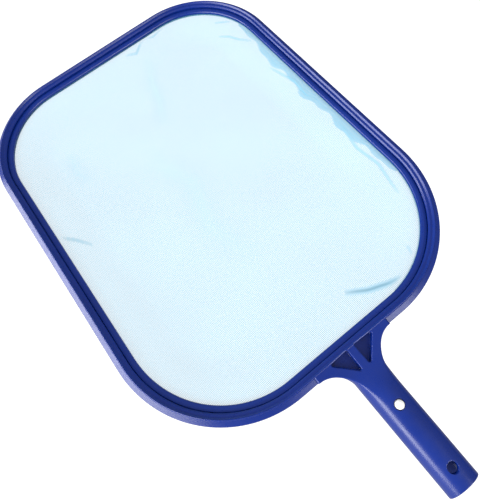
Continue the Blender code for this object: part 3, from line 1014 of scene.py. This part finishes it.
@dataclass
class SpringClip:
    """The V spring in the socket, with a turned nylon button on each leg."""

    moulding: FrameMoulding
    leaf_thickness: float = 0.6 * MM
    leaf_half_width: float = 4.0 * MM
    leg_height: float = 8.6 * MM
    apex_radius: float = 1.6 * MM
    apex_clearance: float = 3.0 * MM
    stem_hole_radius: float = 2.3 * MM
    stem_radius: float = 1.9 * MM
    button_radius: float = 3.35 * MM
    head_radius: float = 3.4 * MM
    head_thickness: float = 1.1 * MM
    head_edge: float = 0.5 * MM
    head_dimple: float = 0.3 * MM
    dome: float = 2.2 * MM
    gap: float = 0.3 * MM
    bend_before_button: float = 7.0 * MM
    tip_past_button: float = 8.0 * MM
    curl: tuple = ((1.1 * MM, 0.5 * MM), (2.0 * MM, 1.5 * MM))
    stem_cut: tuple = (4.0 * MM, 13.0 * MM)
    flex_from_apex: float = 2.0 * MM
    flex_to_button: float = 5.0 * MM

    def leg_line(self) -> np.ndarray:
        """The upper leg's middle line in (y, height over the axis), from the apex to the turned-in tip."""
        m = self.moulding
        apex = m.mouth_y + m.socket.bore_depth - self.apex_clearance - self.apex_radius
        turn = np.linspace(0, math.pi / 2, 9)
        bow = np.stack([apex + self.apex_radius * np.cos(turn), self.apex_radius * np.sin(turn)], axis=1)
        bend = m.button_y + self.bend_before_button
        tip = m.button_y - self.tip_past_button
        share = np.linspace(0, 1, 20)[1:]
        height = self.apex_radius + share * (self.leg_height - self.apex_radius)
        rise = np.stack([apex + share * (bend - apex), height], axis=1)
        flat = np.stack([np.linspace(bend, tip, 14)[1:], np.full(13, self.leg_height)], axis=1)
        curl = np.array([tip, self.leg_height]) - np.array(self.curl)
        return np.concatenate([bow, rise, flat, curl])

    def build_leg(self, side: Side) -> Piece:
        """One leg: a flat strip with rounded edges carried along the leg's line, with a hole for the stem.

        Args:
            side: Which leg.

        Returns:
            The leg.
        """
        line = self.leg_line()
        along = np.gradient(line, axis=0)
        along /= np.linalg.norm(along, axis=1)[:, None]
        across = np.stack([-along[:, 1], along[:, 0]], axis=1)
        half = self.leaf_thickness / 2
        corners = [(w * self.leaf_half_width, h * half) for w, h in ((1, 1), (-1, 1), (-1, -1), (1, -1))]
        section = rounded_profile(corners, [0.2 * MM] * 4, 4)
        place = line[:, None] + across[:, None] * section[None, :, 1, None]
        x = np.broadcast_to(section[None, :, 0], place.shape[:2])
        z = self.moulding.socket.axis_z + side.value * place[..., 1]
        leg = loft(f"spring_leg_{side.name.lower()}", np.stack([x, place[..., 0], z], axis=2))
        turn = np.linspace(0, 2 * math.pi, 32, endpoint=False)
        centre = np.array([0, self.moulding.button_y])
        ring = centre + self.stem_hole_radius * np.stack([np.cos(turn), np.sin(turn)], axis=1)
        levels = self.moulding.socket.axis_z + side.value * np.array(self.stem_cut)
        combine(leg, prism("stem_hole", ring, levels), "DIFFERENCE")
        dress(leg, Finish.STEEL)
        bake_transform(leg)
        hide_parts("v_spring")
        return leg

    def build_button(self, side: Side) -> Piece:
        """One button, turned about its axis: staked head, stem, shoulder and domed pin.

        The dome is a quarter ellipse from the pin's side to its tip.

        Args:
            side: Which leg it sits on.

        Returns:
            The button.
        """
        m = self.moulding
        leg_outside = self.leg_height + self.leaf_thickness / 2
        head = self.leg_height - self.leaf_thickness / 2 - self.gap
        tip = m.socket.axis_z
        turn = np.linspace(0, math.pi / 2, 10)[:-1]
        low = head - self.head_thickness
        dome_height = tip - self.dome + self.dome * np.sin(turn)
        section = np.concatenate(
            [
                [
                    (self.head_dimple, low),
                    (self.head_radius - self.head_edge, low),
                    (self.head_radius, head - self.head_edge),
                    (self.head_radius, head),
                    (self.stem_radius, head),
                    (self.stem_radius, leg_outside + self.gap),
                    (self.button_radius, leg_outside + self.gap),
                ],
                np.stack([self.button_radius * np.cos(turn), dome_height], axis=1),
                [(0.02 * MM, tip)],
            ]
        )
        spin = np.linspace(0, 2 * math.pi, 48, endpoint=False)
        x = section[:, 0, None] * np.cos(spin)
        y = m.button_y + section[:, 0, None] * np.sin(spin)
        z = np.broadcast_to(m.socket.axis_z + side.value * section[:, 1, None], x.shape)
        name = f"{side.name.lower()}_button"
        button = loft(f"{name}_turned", np.stack([x, y, z], axis=2))
        dress(button, Finish.NYLON)
        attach(button, name)
        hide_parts(name)
        return button

    def build(self) -> list[Piece]:
        """Builds both legs and both buttons."""
        return [make(side) for side in Side for make in (self.build_leg, self.build_button)]


# ---------------------------------------------------------------- the studio


@dataclass(frozen=True)
class SoftLight:
    """A rectangular soft light: where it stands, what it points at, its width and height, and its watts."""

    name: str
    place: tuple
    target: tuple
    size: tuple
    power: float

    def build(self) -> Piece:
        """Adds the light to the scene."""
        data = bpy.data.lights.new(self.name, "AREA")
        data.shape = "RECTANGLE"
        data.size, data.size_y = self.size
        data.energy = self.power
        made = bpy.data.objects.new(self.name, data)
        made.location = self.place
        made.rotation_euler = (Vector(self.target) - Vector(self.place)).to_track_quat("-Z", "Y").to_euler()
        bpy.context.scene.collection.objects.link(made)
        return made


@dataclass
class Studio:
    """A pale floor, a long low strip light on the left, a weaker light past the handle, and the camera."""

    lens: float = 24.35
    eye: tuple = (-0.0524, -0.0907, 0.2996)
    right: tuple = (0.788, -0.612, -0.066)
    upwards: tuple = (0.6035, 0.7476, 0.2771)
    strip: SoftLight = SoftLight("strip", (-1.1, 0.15, 0.38), (0, 0.15, 0.02), (2.0, 0.45), 28.0)
    front: SoftLight = SoftLight("front", (0.3, -1.03, 0.5), (0, 0, 0.02), (0.6, 0.4), 5.0)
    board_half: float = 3.0
    board_gap: float = 0.3 * MM
    board_glow: float = 1.2
    mirrored_glow: float = 0.9
    mirrored_from: float = -0.12
    mirrored_to: float = 0.1
    mirrored_sky: float = 0.16
    sky_fill: float = 0.95

    def floor(self) -> Piece:
        """A wide pale light table just under the object.

        It looks evenly lit, and gloss mirrors only its left.
        """
        corners = np.array([(-1, -1), (1, -1), (1, 1), (-1, 1)]) * self.board_half
        points = np.column_stack([corners, np.full(4, -self.board_gap)])
        board = mesh_object("floor", points, [[0, 1, 2, 3]], outwards=False)
        made, tree, shader = new_material("pale_board")
        place = tree.nodes.new("ShaderNodeTexCoord").outputs["Object"]
        parts = tree.nodes.new("ShaderNodeSeparateXYZ")
        tree.links.new(place, parts.inputs[0])
        mirrored = tree.nodes.new("ShaderNodeMapRange")
        mirrored.inputs["From Min"].default_value = self.mirrored_from
        mirrored.inputs["From Max"].default_value = self.mirrored_to
        mirrored.inputs["To Min"].default_value = self.mirrored_glow
        mirrored.inputs["To Max"].default_value = 0.0
        tree.links.new(parts.outputs["X"], mirrored.inputs["Value"])
        path = tree.nodes.new("ShaderNodeLightPath")
        gloss = tree.nodes.new("ShaderNodeMath")
        gloss.operation = "MULTIPLY"
        tree.links.new(path.outputs["Is Glossy Ray"], gloss.inputs[0])
        tree.links.new(mirrored.outputs["Result"], gloss.inputs[1])
        glow = tree.nodes.new("ShaderNodeMath")
        glow.operation = "MULTIPLY_ADD"
        tree.links.new(path.outputs["Is Camera Ray"], glow.inputs[0])
        glow.inputs[1].default_value = self.board_glow
        tree.links.new(gloss.outputs[0], glow.inputs[2])
        tree.links.new(glow.outputs[0], shader.inputs["Emission Strength"])
        shader.inputs["Base Color"].default_value = (0.05, 0.05, 0.05, 1)
        shader.inputs["Roughness"].default_value = 0.9
        shader.inputs["Specular IOR Level"].default_value = 0.0
        shader.inputs["Emission Color"].default_value = (1, 1, 1, 1)
        board.data.materials.append(made)
        return board

    def sky(self) -> None:
        """A surround that is white to look at, lights the object softly and shows only faintly in gloss."""
        world = bpy.data.worlds.new("studio")
        world.use_nodes = True
        tree = world.node_tree
        path = tree.nodes.new("ShaderNodeLightPath")
        total = None
        for seen_as, strength in (
            ("Is Camera Ray", 1.0),
            ("Is Glossy Ray", self.mirrored_sky),
            ("Is Diffuse Ray", self.sky_fill),
        ):
            part = tree.nodes.new("ShaderNodeMath")
            part.operation = "MULTIPLY_ADD"
            part.inputs[1].default_value = strength
            part.inputs[2].default_value = 0.0
            tree.links.new(path.outputs[seen_as], part.inputs[0])
            if total is not None:
                tree.links.new(total, part.inputs[2])
            total = part.outputs[0]
        tree.links.new(total, tree.nodes["Background"].inputs["Strength"])
        tree.nodes["Background"].inputs["Color"].default_value = (1, 1, 1, 1)
        bpy.context.scene.world = world

    def camera(self) -> Piece:
        """The camera above the handle's left side, looking down at the net."""
        data = bpy.data.cameras.new("camera")
        data.lens = self.lens
        data.clip_start = 0.01
        made = bpy.data.objects.new("camera", data)
        right, upwards = Vector(self.right).normalized(), Vector(self.upwards)
        back = right.cross(upwards).normalized()
        upwards = back.cross(right).normalized()
        turn = Matrix((right, upwards, back)).transposed()
        made.matrix_world = Matrix.Translation(self.eye) @ turn.to_4x4()
        bpy.context.scene.collection.objects.link(made)
        bpy.context.scene.camera = made
        return made

    def build(self) -> None:
        """Sets up the floor, the lights, the surround and the camera."""
        scene = bpy.context.scene
        scene.view_settings.view_transform = "Standard"
        self.floor()
        self.strip.build()
        self.front.build()
        self.sky()
        self.camera()


def report(piece: Piece) -> None:
    """Logs a piece's name and how many faces it has."""
    LOG.info("%s: %d faces", piece.name, len(piece.data.polygons))


def main() -> None:
    """Builds the pieces in order, then the studio."""
    logging.basicConfig(level=logging.INFO, format="%(name)s %(message)s")
    moulding = FrameMoulding()
    report(moulding.build())
    report(NetRing().build())
    report(Net().build())
    for piece in SpringClip(moulding).build():
        report(piece)
    Studio().build()


if __name__ == "__main__":
    main()
